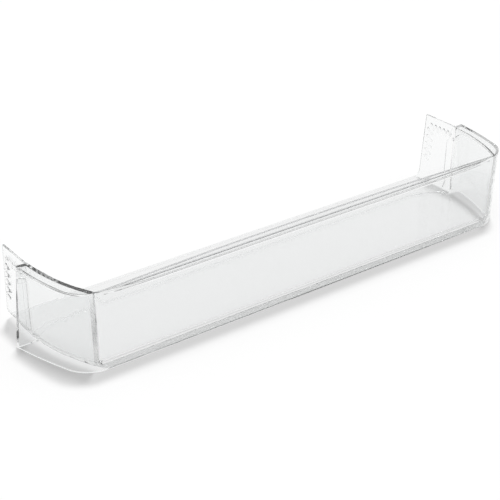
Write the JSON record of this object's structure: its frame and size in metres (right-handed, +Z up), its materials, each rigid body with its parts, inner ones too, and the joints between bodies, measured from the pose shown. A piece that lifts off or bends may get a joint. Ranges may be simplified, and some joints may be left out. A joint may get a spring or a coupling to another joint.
{
  "type": "fridge door shelf",
  "caption": "Clear plastic door shelf for a fridge: a shallow tray with a lipped front wall, an open back, curved end walls under flared skirts and flat rear ears that slide onto the door.",
  "frame": {"origin": "middle of the part in plan, on the plane that its underside and skirts stand on", "axes": "+X along the shelf, +Y towards the door, +Z up"},
  "size_m": [0.4852, 0.12, 0.073],
  "materials": {
    "clear_plastic": "clear moulded plastic, smooth and glossy"
  },
  "bodies": {
    "root": {"door_shelf": "clear_plastic"}
  },
  "joints": []
}
